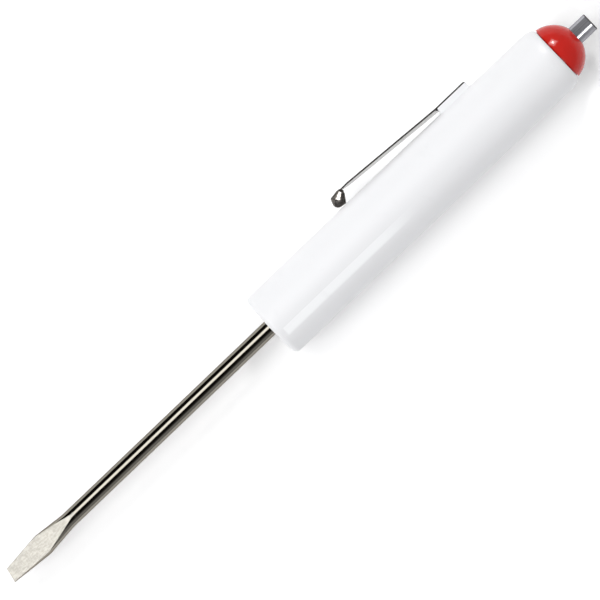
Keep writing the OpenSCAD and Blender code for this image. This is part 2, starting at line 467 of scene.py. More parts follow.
def grain_group() -> bpy.types.NodeTree:
    """Fine surface grain: noise on the object's own coordinates, stretched along the tool.

    Returns:
        A group with the inputs Along, Across and Detail, and the output Height.
    """
    tree, entry = new_group("surface_grain", ("Along", "Across", "Detail"), "Height")
    scale = tree.add("ShaderNodeCombineXYZ")
    for name, socket in zip(("Along", "Across", "Across"), scale.inputs):
        tree.join(entry.outputs[name], socket)
    stretched = tree.add("ShaderNodeVectorMath", operation="MULTIPLY")
    tree.join(tree.place("Object"), stretched.inputs[0])
    tree.join(scale.outputs[0], stretched.inputs[1])
    noise = tree.add("ShaderNodeTexNoise", Scale=1.0, Roughness=0.6)
    tree.join(stretched.outputs[0], noise.inputs["Vector"])
    tree.join(entry.outputs["Detail"], noise.inputs["Detail"])
    tree.join(noise.outputs["Fac"], tree.add("NodeGroupOutput").inputs["Height"])
    return tree.data


def marks_group() -> bpy.types.NodeTree:
    """Faint handling marks: small blotches of noise, kept only where it is above Cover.

    Returns:
        A group with the inputs Scale and Cover, and the output Mask.
    """
    tree, entry = new_group("handling_marks", ("Scale", "Cover"), "Mask")
    noise = tree.add("ShaderNodeTexNoise", Detail=5.0, Roughness=0.55)
    tree.join(tree.place("Object"), noise.inputs["Vector"])
    tree.join(entry.outputs["Scale"], noise.inputs["Scale"])
    over = tree.calc("SUBTRACT", noise.outputs["Fac"], entry.outputs["Cover"])
    full_at = 0.12
    tree.join(tree.spread(over, 0.0, full_at), tree.add("NodeGroupOutput").inputs["Mask"])
    return tree.data


@dataclass
class Finishes:
    """The node groups that the finishes share, made once."""

    grain: bpy.types.NodeTree = field(default_factory=grain_group)
    marks: bpy.types.NodeTree = field(default_factory=marks_group)

    def place_grain(self, tree: Tree, grain: Grain) -> bpy.types.NodeSocket:
        """Places the grain group in a material.

        Args:
            tree: The material's tree.
            grain: The grain's values.

        Returns:
            The grain's height.
        """
        made = tree.add("ShaderNodeGroup", node_tree=self.grain)
        made.inputs["Along"].default_value = grain.along
        made.inputs["Across"].default_value = grain.across
        made.inputs["Detail"].default_value = grain.detail
        return made.outputs["Height"]

    def place_marks(self, tree: Tree, shader: bpy.types.Node, marks: Marks,
                    roughness: float) -> bpy.types.NodeSocket:
        """Places the handling marks in a material and sets its roughness by them.

        Args:
            tree: The material's tree.
            shader: Its Principled node.
            marks: The marks' values.
            roughness: The roughness between the marks.

        Returns:
            The marks' mask.
        """
        made = tree.add("ShaderNodeGroup", node_tree=self.marks)
        made.inputs["Scale"].default_value = marks.scale
        made.inputs["Cover"].default_value = marks.cover
        mask = made.outputs["Mask"]
        tree.join(tree.spread(mask, 0.0, 1.0, roughness, roughness + marks.roughness),
                  shader.inputs["Roughness"])
        return mask


def new_material(name: str, **settings: object) -> tuple[bpy.types.Material, Tree, bpy.types.Node]:
    """Makes a material with a Principled shader.

    Args:
        name: The material's name.
        **settings: Values of the shader's sockets, as Tree.add takes them.

    Returns:
        The material, its tree and its Principled node.
    """
    made = bpy.data.materials.new(name)
    made.use_nodes = True
    made.node_tree.nodes.clear()
    tree = Tree(made.node_tree)
    shader = tree.add("ShaderNodeBsdfPrincipled", **settings)
    tree.join(shader.outputs["BSDF"], tree.add("ShaderNodeOutputMaterial").inputs["Surface"])
    return made, tree, shader


def bump(tree: Tree, shader: bpy.types.Node, height: bpy.types.NodeSocket, strength: float) -> None:
    """Feeds a height into the shader's normal, as waves 0.02 mm deep at full strength.

    Args:
        tree: The material's tree.
        shader: Its Principled node.
        height: The height.
        strength: How much of the waves shows.
    """
    made = tree.add("ShaderNodeBump", Strength=strength, Distance=0.02 * MM)
    tree.join(height, made.inputs["Height"])
    tree.join(made.outputs["Normal"], shader.inputs["Normal"])


@dataclass(frozen=True)
class SatinPlastic:
    """The barrel's satin moulded plastic, with a painted highlight: a paler stripe over its flat."""

    base: Colour = (0.822, 0.826, 0.838)
    # Painted highlight: the paler colour over the flat stands in for light falling on it.
    painted_highlight: Colour = (0.93, 0.94, 0.95)
    specular: float = 0.45
    roughness: float = 0.42
    marks: Marks = Marks(scale=420.0, cover=0.60, roughness=0.10)
    mark_share: float = 0.06
    dark_share: float = 0.75
    peel: Grain = Grain(along=900.0, across=900.0, detail=2.0)
    peel_strength: float = 0.12
    band_from: float = TOOL.blade_out + 1.5 * MM
    band_start: float = 0.5 * MM
    band_fade: float = TOOL.blade_out + 25.0 * MM
    band_end: float = TOOL.blade_out + 37.0 * MM
    band_turn: float = TOOL.flat_turn
    band_half: float = 7.6
    low_blur: float = 0.3
    high_outside: float = 2.0
    high_inside: float = 3.0

    def highlight_paint_mask(self, tree: Tree) -> bpy.types.NodeSocket:
        """Makes the mask of the painted highlight, the paler stripe over the flat.

        A point's angle is the arc tangent of z over y. The mask is the product of four eased
        steps: over the band's lower edge, its softer upper edge, its start and its slow end.

        Args:
            tree: The material's tree.

        Returns:
            The mask.
        """
        parts = tree.parts(tree.place("Object"))
        angle = tree.calc("ARCTAN2", parts["Z"], parts["Y"])
        off = tree.calc("SUBTRACT", tree.calc("MULTIPLY", angle, 180.0 / math.pi), self.band_turn)
        lower = tree.spread(off, -self.band_half - self.low_blur, -self.band_half + self.low_blur)
        upper = tree.spread(off, self.band_half + self.high_outside, self.band_half - self.high_inside)
        start = tree.spread(parts["X"], self.band_from, self.band_from + self.band_start)
        fade = tree.spread(parts["X"], self.band_end, self.band_fade)
        edges = tree.calc("MULTIPLY", upper, lower)
        return tree.calc("MULTIPLY", edges, tree.calc("MULTIPLY", start, fade))

    def build(self, finishes: Finishes) -> bpy.types.Material:
        """Makes the material.

        Args:
            finishes: The shared node groups.

        Returns:
            The material.
        """
        made, tree, shader = new_material("satin_white_plastic", Specular_IOR_Level=self.specular)
        # Painted highlight: the paler stripe over the flat stands in for light falling on it.
        colour = tree.tint(self.highlight_paint_mask(tree), self.base, self.painted_highlight)
        marks = finishes.place_marks(tree, shader, self.marks, self.roughness)
        dark = tuple(self.dark_share * c for c in self.base)
        worn = tree.calc("MULTIPLY", marks, self.mark_share)
        tree.join(tree.tint(worn, colour, dark), shader.inputs["Base Color"])
        bump(tree, shader, finishes.place_grain(tree, self.peel), self.peel_strength)
        return made


@dataclass(frozen=True)
class GlossPlastic:
    """The button's glossy red plastic. The light it throws on what is near is nearly neutral."""

    base: Colour = (0.57, 0.012, 0.006)
    thrown: Colour = (0.40, 0.37, 0.36)
    specular: float = 0.24
    roughness: float = 0.10
    marks: Marks = Marks(scale=700.0, cover=0.60, roughness=0.12)
    cloud: Grain = Grain(along=260.0, across=260.0, detail=2.0)
    deep_share: float = 0.86
    peel: Grain = Grain(along=700.0, across=700.0, detail=2.0)
    peel_strength: float = 0.15

    def build(self, finishes: Finishes) -> bpy.types.Material:
        """Makes the material.

        Args:
            finishes: The shared node groups.

        Returns:
            The material.
        """
        made, tree, shader = new_material("gloss_red_plastic", Specular_IOR_Level=self.specular)
        deep = tuple(self.deep_share * c for c in self.base)
        red = tree.tint(finishes.place_grain(tree, self.cloud), deep, self.base)
        thrown = tree.add("ShaderNodeLightPath").outputs["Is Diffuse Ray"]
        tree.join(tree.tint(thrown, red, self.thrown), shader.inputs["Base Color"])
        finishes.place_marks(tree, shader, self.marks, self.roughness)
        bump(tree, shader, finishes.place_grain(tree, self.peel), self.peel_strength)
        return made


@dataclass(frozen=True)
class BrightMetal:
    """A plated or polished metal with fine lines along the piece.

    The lines raise the surface by line_strength and darken it by line_shade between the two
    line_levels of their height. A metallic share below 1 leaves a milky part, as on plain zinc.
    """

    name: str
    base: Colour
    tarnish: Colour
    roughness: float
    line_length: float
    line_width: float
    line_strength: float
    line_shade: float = 0.0
    line_levels: tuple[float, float] = (0.40, 0.62)
    line_detail: float = 4.0
    metallic: float = 1.0
    edge_tint: Colour = WHITE
    marks: Marks = Marks(scale=500.0, cover=0.58, roughness=0.08)
    mark_share: float = 0.5

    def build(self, finishes: Finishes) -> bpy.types.Material:
        """Makes the material.

        Args:
            finishes: The shared node groups.

        Returns:
            The material.
        """
        made, tree, shader = new_material(self.name, Metallic=self.metallic,
                                          Specular_Tint=(*self.edge_tint, 1.0))
        grain = Grain(1.0 / self.line_length, 1.0 / self.line_width, self.line_detail)
        lines = finishes.place_grain(tree, grain)
        marks = finishes.place_marks(tree, shader, self.marks, self.roughness)
        colour = tree.tint(tree.calc("MULTIPLY", marks, self.mark_share), self.base, self.tarnish)
        shade = tree.spread(lines, *self.line_levels, 0.0, self.line_shade)
        tree.join(tree.tint(shade, colour, BLACK), shader.inputs["Base Color"])
        bump(tree, shader, lines, self.line_strength)
        return made


@dataclass(frozen=True)
class GroundSteel:
    """The tip's ground faces: pale steel with fine lines along the blade and short spots across."""

    base: Colour = (0.415, 0.399, 0.360)
    worn: Colour = (0.340, 0.328, 0.297)
    roughness: float = 0.34
    worn_roughness: float = 0.46
    lines: Grain = Grain(along=900.0, across=6500.0)
    spots: Grain = Grain(along=4200.0, across=1500.0)
    line_share: float = 0.6
    levels: tuple[float, float] = (0.42, 0.60)
    strength: float = 0.18

    def build(self, finishes: Finishes) -> bpy.types.Material:
        """Makes the material.

        Args:
            finishes: The shared node groups.

        Returns:
            The material.
        """
        made, tree, shader = new_material("ground_steel", Metallic=1.0)
        lines = tree.calc("MULTIPLY", finishes.place_grain(tree, self.lines), self.line_share)
        spots = tree.calc("MULTIPLY", finishes.place_grain(tree, self.spots), 1.0 - self.line_share)
        both = tree.calc("ADD", lines, spots)
        streak = tree.spread(both, *self.levels)
        tree.join(tree.tint(streak, self.worn, self.base), shader.inputs["Base Color"])
        tree.join(tree.spread(streak, 0.0, 1.0, self.worn_roughness, self.roughness),
                  shader.inputs["Roughness"])
        bump(tree, shader, both, self.strength)
        return made


WIRE = BrightMetal("bright_plated_wire", base=(0.275, 0.258, 0.222), tarnish=(0.23, 0.21, 0.175),
                   roughness=0.10, line_length=40.0 * MM, line_width=0.28 * MM,
                   line_strength=0.14, edge_tint=(0.32, 0.30, 0.27))
PLATING = BrightMetal("magnet_plating", base=(0.405, 0.405, 0.435), tarnish=(0.29, 0.29, 0.32),
                      roughness=0.07, line_length=12.0 * MM, line_width=0.22 * MM,
                      line_strength=0.05, line_shade=0.25, metallic=0.57,
                      edge_tint=(0.35, 0.35, 0.37))
SPRING = BrightMetal("bright_spring_steel", base=(0.30, 0.288, 0.272), tarnish=(0.20, 0.18, 0.168),
                     roughness=0.16, line_length=9.0 * MM, line_width=0.16 * MM,
                     line_strength=0.25)
# Painted shade: near-black steel that stands in for the dark reflections on the clip's edges along its
# arm and on the magnet's rounded end rim.
SHADE_PAINTED_EDGE = BrightMetal("sheared_steel_edge", base=(0.038, 0.035, 0.033),
                      tarnish=(0.022, 0.020, 0.019), roughness=0.30, line_length=9.0 * MM,
                      line_width=0.16 * MM, line_strength=0.25, edge_tint=(0.5, 0.5, 0.5))
FOLDED = BrightMetal("folded_steel", base=(0.14, 0.13, 0.12), tarnish=(0.04, 0.036, 0.032),
                     roughness=0.15, line_length=1.2 * MM, line_width=0.35 * MM,
                     line_strength=0.20, line_shade=0.6, edge_tint=(0.6, 0.58, 0.55),
                     marks=Marks(scale=1400.0, cover=0.58, roughness=0.08))


# Pieces


def dress(piece: bpy.types.Object, slot: Slot, *materials: bpy.types.Material) -> None:
    """Gives a piece its materials.

    Args:
        piece: The object.
        slot: Not used.
        *materials: Its materials, in the order of its faces' numbers.
    """
    for material in materials:
        piece.data.materials.append(material)


@dataclass
class Blade:
    """A round wire whose tip is forged wide and ground flat on two faces.

    The ground finish is on faces that are within ground_slope of level, and on the end's faces,
    which are within end_slope of square to the tool.
    """

    shank_r: float = TOOL.shank_r
    length: float = TOOL.blade_out + TOOL.blade_in
    tip_half: float = 1.5 * MM
    tip_face: float = 0.95 * tip_half
    tip_half_thick: float = 0.3 * MM
    flare_half: float = 2.27 * MM
    flare_face: float = 2.0 * MM
    flare_at: float = 8.4 * MM
    neck_at: float = 14.93 * MM
    grind_len: float = 16.9 * MM
    turn: float = -12.0
    face_bow: float = 0.88
    end_skew: float = 0.3 * MM
    face_points: int = 9
    flank_points: int = 22
    crease: float = 24.0
    ground_slope: float = 9.0
    end_slope: float = 25.0

    def half_width(self, x: np.ndarray) -> np.ndarray:
        """Half the width: straight lines out to the flare's corner and in to the neck."""
        return np.interp(x, [0.0, self.flare_at, self.neck_at],
                         [self.tip_half, self.flare_half, self.shank_r])

    def half_face(self, x: np.ndarray) -> np.ndarray:
        """Half the width of the ground faces: a straight line out, then a bowed one to a point.

        Args:
            x: Places along the blade.

        Returns:
            One half width a place.
        """
        out = self.tip_face + (self.flare_face - self.tip_face) * x / self.flare_at
        left = np.clip((self.grind_len - x) / (self.grind_len - self.flare_at), 0.0, 1.0)
        return np.where(x < self.flare_at, out, self.flare_face * left ** self.face_bow)

    def half_thickness(self, x: np.ndarray) -> np.ndarray:
        """Half the distance between the ground faces, a straight line from tip to run-out."""
        gain = (self.shank_r - self.tip_half_thick) * x / self.grind_len
        return np.minimum(self.tip_half_thick + gain, self.shank_r)

    def rings(self) -> np.ndarray:
        """Rings along the wire.

        Each ring is an ellipse cut level by the two ground faces. Its half width is half_width,
        and its half height is the half thickness over the root of 1 less the square of the face's
        share of the width, so that the cut is as wide as the face. The ring runs along the upper
        face, round one flank, along the lower face and round the other. Near the end, each point
        moves along the blade by a share of end_skew, so that the end isn't quite square.

        Returns:
            An array of rows, points and coordinates.
        """
        places = np.append(spans((0.0, self.flare_at, 24), (self.flare_at, self.grind_len, 60),
                                 (self.grind_len, self.length, 30)), self.length)
        wide = self.half_width(places)[:, None]
        face = self.half_face(places)[:, None]
        thick = self.half_thickness(places)[:, None]
        rise = np.arccos(np.clip(face / wide, 0.0, 1.0))
        high = thick / np.sin(rise)
        along = np.linspace(1.0, -1.0, self.face_points, endpoint=False)[None, :]
        round_share = np.linspace(0.0, 1.0, self.flank_points, endpoint=False)[None, :]
        sides = []
        for sign, first in ((1.0, math.pi - rise), (-1.0, -rise)):
            level = np.broadcast_arrays(sign * face * along, sign * np.minimum(thick, high))
            angle = first + 2.0 * rise * round_share
            sides += [np.stack(level, axis=-1),
                      np.stack([wide * np.cos(angle), high * np.sin(angle)], axis=-1)]
        section = np.concatenate(sides, axis=1)
        x = np.broadcast_to(places[:, None], section.shape[:2])
        near_end = np.clip(1.0 - x / self.flare_at, 0.0, 1.0)
        skew = self.end_skew * near_end * section[..., 0] / self.tip_half
        points = np.concatenate([(x + skew)[..., None], section], axis=-1)
        return turned_about_x(points, self.turn)

    def build(self, wire: bpy.types.Material, ground: bpy.types.Material) -> bpy.types.Object:
        """Makes the blade.

        Args:
            wire: The finish of the shank and flanks.
            ground: The finish of the two ground faces and the end.

        Returns:
            The blade, in place of its CAD node.
        """
        piece = tube("blade_wire", self.rings()[:, ::-1], self.crease)
        dress(piece, Slot.BLADE, wire, ground)
        straight = turned_about_x(face_values(piece, "normal"), -self.turn)
        near = face_values(piece, "center")[:, 0] < self.grind_len
        level = np.abs(straight[:, 2]) > math.cos(math.radians(self.ground_slope))
        end = straight[:, 0] < -math.cos(math.radians(self.end_slope))
        paint(piece, near & (level | end))
        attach(piece, Side.HANDLE.value)
        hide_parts("blade")
        return piece


@dataclass
class Barrel:
    """The moulded barrel with its bore, its raised clip seat and its long shallow flat.

    The stretches of its columns are first and last angle and number of steps, with short steps
    over the walls of the seat and over the flat.
    """

    start: float = TOOL.blade_out
    length: float = TOOL.barrel_len
    radius: float = TOOL.barrel_r
    top_radius: float = 6.85 * MM
    grip_len: float = 35.5 * MM
    nose_round: float = 1.1 * MM
    rim_len: float = 2.3 * MM
    rim_in: float = 0.95 * MM
    rim_edge: float = 22.0
    bore_r: float = TOOL.bore_r
    bore_len: float = 46.0 * MM
    hole_r: float = TOOL.shank_r + TOOL.fit
    hole_len: float = TOOL.blade_in + TOOL.fit
    flat_depth: float = 0.06 * MM
    flat_len: float = 33.3 * MM
    flat_turn: float = TOOL.flat_turn
    flat_reach: float = 28.6
    seat_from: float = TOOL.clip_root + 0.2 * MM
    seat_len: float = 7.36 * MM
    seat_top: float = TOOL.seat_top
    seat_half: float = 2.3 * MM
    seat_wall: float = 0.22 * MM
    seat_corner: float = 0.5 * MM
    seat_reach: float = 40.1
    clip_turn: float = TOOL.clip_turn
    margin: float = 1.0 * MM
    skin: float = 0.01 * MM
    crease: float = 40.0
    stretches: tuple[tuple[float, float, int], ...] = (
        (-33.0, -27.0, 8), (-27.0, -21.0, 28), (-21.0, 5.0, 40), (5.0, 11.0, 28),
        (11.0, 17.0, 8), (17.0, 100.0, 28), (100.0, 124.0, 26), (124.0, 327.0, 68))

    def outline(self) -> np.ndarray:
        """Half section from the blade's blind hole, round the outside, to the bore's floor.

        The nose is a quarter circle. Over the grip the radius is constant, and from there it
        falls in a straight line to the shoulder, with short steps over the seat. The shoulder is
        a stretch of an ellipse that stops at the angle rim_edge above the axis, so its radii are
        rim_len over the cosine of that angle, and rim_in over 1 less its sine.

        Returns:
            Rows of x and r.
        """
        rim = self.start + self.length
        nose_x, grip_x = self.start + self.nose_round, self.start + self.grip_len
        seat_low = self.seat_from - self.margin
        seat_high = self.seat_from + self.seat_len + self.margin
        nose = arc((nose_x, self.radius - self.nose_round), (self.nose_round, self.nose_round),
                   (180.0, 90.0), 12)
        grip = spans((nose_x + self.margin, grip_x, 24))
        taper = spans((grip_x, seat_low, 10), (seat_low, seat_high, 110),
                      (seat_high, rim - self.rim_len, 12))
        share = (taper - grip_x) / (self.length - self.grip_len - self.rim_len)
        last = math.radians(self.rim_edge)
        drop = self.rim_in / (1.0 - math.sin(last))
        shoulder = arc((rim - self.rim_len, self.top_radius - drop),
                       (self.rim_len / math.cos(last), drop), (90.0, self.rim_edge), 20)
        return np.concatenate([
            [[self.start + self.hole_len, self.hole_r], [self.start, self.hole_r]],
            [[self.start, (self.hole_r + self.radius - self.nose_round) / 2.0]],
            nose,
            np.column_stack([grip, np.full(len(grip), self.radius)]),
            np.column_stack([taper, self.radius + (self.top_radius - self.radius) * share]),
            shoulder,
            [[rim, self.bore_r], [rim - self.bore_len, self.bore_r]]])

    def shape(self, x: np.ndarray, r: np.ndarray, angle: np.ndarray) -> np.ndarray:
        """Adds the flat and the clip seat to the radii.

        The flat is a chord: its distance from the axis over the cosine of the angle from its
        middle. The seat is a chord too, kept inside a rounded rectangle whose wall is an ease.

        Args:
            x: Places along the axis.
            r: Radii of the plain outline.
            angle: Angles about the axis, in radians.

        Returns:
            The new radii.
        """
        outside = r > self.top_radius - self.rim_in - self.skin
        off_flat = angle - math.radians(self.flat_turn)
        on_flat = np.abs(off_flat) < math.radians(self.flat_reach)
        on_flat = on_flat & (x < self.start + self.flat_len)
        chord = (self.radius - self.flat_depth) / np.cos(np.where(on_flat, off_flat, 0.0))
        r = np.where(outside & on_flat, np.minimum(r, chord), r)
        off_seat = angle - math.radians(self.clip_turn)
        off_seat = (off_seat + math.pi) % (2.0 * math.pi) - math.pi
        on_seat = np.abs(off_seat) < math.radians(self.seat_reach)
        top = self.seat_top / np.cos(np.where(on_seat, off_seat, 0.0))
        half_len = self.seat_len / 2.0
        across = np.abs(top * np.sin(off_seat)) - self.seat_half + self.seat_corner
        along = np.abs(x - self.seat_from - half_len) - half_len + self.seat_corner
        gap = np.hypot(np.maximum(across, 0.0), np.maximum(along, 0.0)) - self.seat_corner
        raised = r + (top - r) * smooth(0.5 - gap / self.seat_wall)
        return np.where(outside & on_seat, raised, r)

    def build(self, plastic: bpy.types.Material) -> bpy.types.Object:
        """Makes the barrel.

        Args:
            plastic: Its finish.

        Returns:
            The barrel, in place of its CAD node.
        """
        piece = turned_piece("moulded_barrel", self.outline(), self.stretches, self.crease,
                             self.shape)
        dress(piece, Slot.BARREL, plastic)
        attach(piece, Side.HANDLE.value)
        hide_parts("barrel")
        return piece


@dataclass
class Button:
    """The red dome, its plug with a snap bead, and the blind hole for the magnet."""

    rim: float = TOOL.rim
    dome_r: float = 6.0 * MM
    dome_sink: float = 0.65 * MM
    groove_width: float = 0.22 * MM
    groove_depth: float = 0.35 * MM
    plug_r: float = TOOL.bore_r - TOOL.fit
    plug_len: float = 9.0 * MM
    bead: float = 0.3 * MM
    bead_share: float = 2.0 / 3.0
    lead: float = 2.0 * bead
    hole_r: float = TOOL.magnet_r + TOOL.fit
    hole_floor: float = TOOL.magnet_foot - 0.004 * MM
    mouth_round: float = 0.12 * MM
    mouth_from: float = 30.0
    columns: int = 144

    def outline(self) -> np.ndarray:
        """Half section from the plug's inner end, over the dome, into the magnet's hole.

        The plug is straight, with a chamfer at its inner end and a bead with sloping sides. The
        dome is an arc between the parting groove and the hole's rounded mouth.

        Returns:
            Rows of x and r.
        """
        low = math.degrees(math.acos((self.dome_sink + self.groove_width) / self.dome_r))
        mouth_r = self.hole_r + self.mouth_round
        high = math.degrees(math.asin(mouth_r / self.dome_r))
        dome = arc((self.rim - self.dome_sink, 0.0), (self.dome_r, self.dome_r), (low, high), 40)
        mouth = arc((dome[-1, 0] - self.mouth_round, mouth_r),
                    (self.mouth_round, self.mouth_round), (self.mouth_from, -90.0), 5)
        inner = self.rim - self.plug_len
        bead_x = self.rim - self.bead_share * self.plug_len
        groove_r = dome[0, 1] - self.groove_depth
        foot = [[inner, self.plug_r - self.lead], [inner + self.lead, self.plug_r],
                [bead_x - self.bead, self.plug_r], [bead_x, self.plug_r + self.bead],
                [bead_x + self.bead, self.plug_r], [self.rim, self.plug_r],
                [self.rim, groove_r], [dome[0, 0], groove_r]]
        return np.concatenate([foot, dome, mouth[1:-1], [[self.hole_floor, self.hole_r]]])

    def build(self, plastic: bpy.types.Material) -> bpy.types.Object:
        """Makes the button.

        Args:
            plastic: Its finish.

        Returns:
            The button, in place of its CAD node.
        """
        piece = turned_piece("red_button", self.outline(), [(0.0, 360.0, self.columns)])
        dress(piece, Slot.BUTTON, plastic)
        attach(piece, Side.HANDLE.value)
        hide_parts("button")
        return piece


@dataclass
class Magnet:
    """The plated pick-up magnet, a rod with rounded ends."""

    foot: float = TOOL.magnet_foot
    end: float = TOOL.length
    radius: float = TOOL.magnet_r
    edge: float = 0.22 * MM
    guard: float = 0.06 * MM
    face_skin: float = 0.005 * MM
    columns: int = 96

    def outline(self) -> np.ndarray:
        """Half section: a straight side between two small quarter rounds.

        Two more points a guard's length from the rounds keep the side's shading straight.

        Returns:
            Rows of x and r.
        """
        low_x, high_x, side = self.foot + self.edge, self.end - self.edge, self.radius - self.edge
        low = arc((low_x, side), (self.edge, self.edge), (180.0, 90.0), 5)
        high = arc((high_x, side), (self.edge, self.edge), (90.0, 0.0), 7)
        middle = [[low_x + self.guard, self.radius], [high_x - self.guard, self.radius]]
        return np.concatenate([low, middle, high])

    def build(self, plating: bpy.types.Material, rim_shade: bpy.types.Material) -> bpy.types.Object:
        """Makes the magnet.

        Args:
            plating: Its finish.
            rim_shade: Painted shade on the rounded rim at its open end, dark for the dark reflection
                there.

        Returns:
            The magnet, in place of its CAD node.
        """
        piece = turned_piece("pick_up_magnet", self.outline(), [(0.0, 360.0, self.columns)])
        dress(piece, Slot.MAGNET, plating, rim_shade)
        x = face_values(piece, "center")[:, 0]
        # The rounded rim at the open end takes the painted shade.
        paint(piece, (x > self.end - self.edge) & (x < self.end - self.face_skin))
        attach(piece, Side.HANDLE.value)
        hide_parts("magnet")
        return piece


@dataclass
class PocketClip:
    """The spring strip with its lanced tongue and rear hook, and the folded bud at its end.

    On its seat the strip's middle line lies mid_y from the axis. Its legs go down at tab_mid and
    rear_mid to leg_y, where each ends in a toe leg_len long. Its front end reaches jog into the
    bud. The sizes whose names start with fine are stretches with short steps: from the neck,
    before the root and behind it. The bud's radii are shares of bud_r at shares of its length,
    and its seams are counted in facets.
    """

    thick: float = 0.3 * MM
    root: float = TOOL.clip_root
    mid_y: float = TOOL.seat_top + thick / 2.0
    half_root: float = 2.1 * MM
    half_end: float = 1.6 * MM
    half_neck: float = 0.6 * MM
    shoulder_share: float = 1.3
    arm_len: float = 23.4 * MM
    arm_rise: float = 4.1
    jog: float = 0.9 * MM
    root_soft: float = 0.9 * MM
    tab_half: float = 1.302 * MM
    tab_share: float = 0.62
    tab_mid: float = root + thick
    rear_mid: float = tab_mid + 7.1 * MM
    bend: float = 0.25 * MM
    leg_share: float = 0.4
    leg_y: float = 4.37 * MM
    leg_len: float = 1.3 * MM
    window_len: float = 4.65 * MM
    lance_bend: float = 0.9 * MM
    tongue_share: float = 0.97
    fine_neck: float = 1.8 * MM
    fine_before: float = 5.2 * MM
    fine_behind: float = 1.2 * MM
    rail_points: int = 4
    tongue_points: int = 9
    crease: float = 60.0
    rolled: float = 0.045 * MM
    rolled_from: float = 50.0
    turn: float = TOOL.clip_turn
    flex_len: float = 5.0 * MM
    bud_len: float = 3.5 * MM
    bud_r: float = 1.55 * MM
    bud_dip: float = 32.0
    bud_rows: int = 7
    bud_facets: int = 9
    facet_columns: int = 18
    bud_roll: float = 30.0
    bud_flat_share: float = 0.65
    bud_crease: float = 14.0
    length_shares: tuple[float, ...] = (0.0, 0.05, 0.16, 0.60, 0.64, 0.84, 0.95, 1.0)
    radius_shares: tuple[float, ...] = (0.30, 0.34, 0.55, 0.99, 1.0, 0.66, 0.42, 0.18)
    seam_facets: tuple[float, ...] = (0.0, 3.0, 6.0)
    seam_share: float = 0.16
    seam_width: float = 5.0
    seam_from_share: float = 0.40
    seam_ease_share: float = 0.12

    @property
    def neck(self) -> tuple[float, float]:
        """Place of the neck along the tool and its height, from the arm's length and rise."""
        a = math.radians(self.arm_rise)
        return self.root - self.arm_len * math.cos(a), self.mid_y + self.arm_len * math.sin(a)

    def places(self) -> np.ndarray:
        """Places along the strip from the neck to the rear hook.

        Returns:
            A row of x.
        """
        first = self.neck[0] - self.jog
        stops = (first, self.neck[0] + self.fine_neck, self.root - self.fine_before,
                 self.root + self.fine_behind, self.rear_mid - self.bend)
        return spans(*zip(stops, stops[1:], (20, 16, 24, 24)))

    def leg(self, mid: float, way: float) -> np.ndarray:
        """The clinched end of a leg: a quarter round and a straight toe.

        Args:
            mid: Place of the leg's middle line along the tool.
            way: 1 if the toe points to the magnet, and -1 if it points to the tip.

        Returns:
            Rows of x and height.
        """
        angles = (180.0, 270.0) if way > 0.0 else (0.0, -90.0)
        heel = arc((mid + way * self.thick, self.leg_y + self.thick), (self.thick, self.thick),
                   angles, 6)
        return np.append(heel, [[mid + way * (self.thick + self.leg_len), self.leg_y]], axis=0)

    def route(self) -> tuple[np.ndarray, np.ndarray]:
        """The strip's middle line from the neck to its clinched rear leg, and its half width.

        The line is level behind the root and rises in front of it. Within root_soft of the root
        it is lifted by slope times the square of what is left of root_soft, over 4 times
        root_soft, which makes the corner a smooth bend. The half width is a straight line from
        root to end, eased in to the neck's, and eased to the leg's down the hook.

        Returns:
            Rows of x and height, and one half width a row.
        """
        slope = math.tan(math.radians(self.arm_rise))
        x = self.places()
        left = np.clip(self.root_soft - np.abs(x - self.root), 0.0, None)
        y = self.mid_y + np.maximum(self.root - x, 0.0) * slope
        y = y + slope * np.square(left) / (4.0 * self.root_soft)
        hook = arc((self.rear_mid - self.bend, self.mid_y - self.bend), (self.bend, self.bend),
                   (90.0, 0.0), 12)
        line = np.concatenate([np.column_stack([x, y]), hook, self.leg(self.rear_mid, -1.0)])
        end_x = self.neck[0] + self.half_end
        share = np.clip((line[:, 0] - end_x) / (self.root - end_x), 0.0, 1.0)
        half = self.half_end + (self.half_root - self.half_end) * share
        shoulder = smooth((line[:, 0] - self.neck[0]) / (self.shoulder_share * self.half_end))
        half = self.half_neck + (half - self.half_neck) * shoulder
        down = smooth((self.mid_y - line[:, 1]) / self.bend) * (line[:, 0] > self.root)
        return line, half + (self.tab_half - half) * down

    def strip(self) -> bpy.types.Object:
        """Makes the strip as a sheet with a window and a tongue bent down out of it.

        A point of the sheet is a place on the middle line and a share of the half width. The
        tongue is a second sheet that starts on the window's front edge and follows its own line.
        The legs take the third material and the rest takes the second.

        Returns:
            The strip's object, with its thickness still to come.
        """
        line, half = self.route()
        inner = np.minimum(self.tab_half, self.tab_share * half)
        rail = np.linspace(1.0, 0.0, self.rail_points)[:, None]
        between = np.linspace(-1.0, 1.0, self.tongue_points)[1:-1, None]
        across = np.concatenate([-(inner + (half - inner) * rail), between * inner,
                                 inner + (half - inner) * rail[::-1]]).T
        rows, columns = across.shape
        number = np.arange(rows * columns).reshape(rows, columns)
        low, high = self.rail_points - 1, columns - self.rail_points
        places = self.places()
        hinge = int(np.searchsorted(places, self.tab_mid - self.lance_bend))
        window_end = int(np.searchsorted(places, places[hinge] + self.window_len))
        keep = np.ones((rows - 1, columns - 1), dtype=bool)
        keep[hinge:window_end, low:high] = False
        faces = sheet_faces(number)[keep]
        radius = self.tab_mid - line[hinge, 0]
        drop = arc((line[hinge, 0], line[hinge, 1] - radius), (radius, radius), (90.0, 0.0), 7)[1:]
        tongue = np.concatenate([drop, self.leg(self.tab_mid, 1.0)])
        width = across[hinge, low:high + 1]
        tongue_number = number.size + np.arange(len(tongue) * len(width)).reshape(-1, len(width))
        tongue_number = np.concatenate([number[hinge:hinge + 1, low:high + 1], tongue_number])
        tongue_faces = sheet_faces(tongue_number)
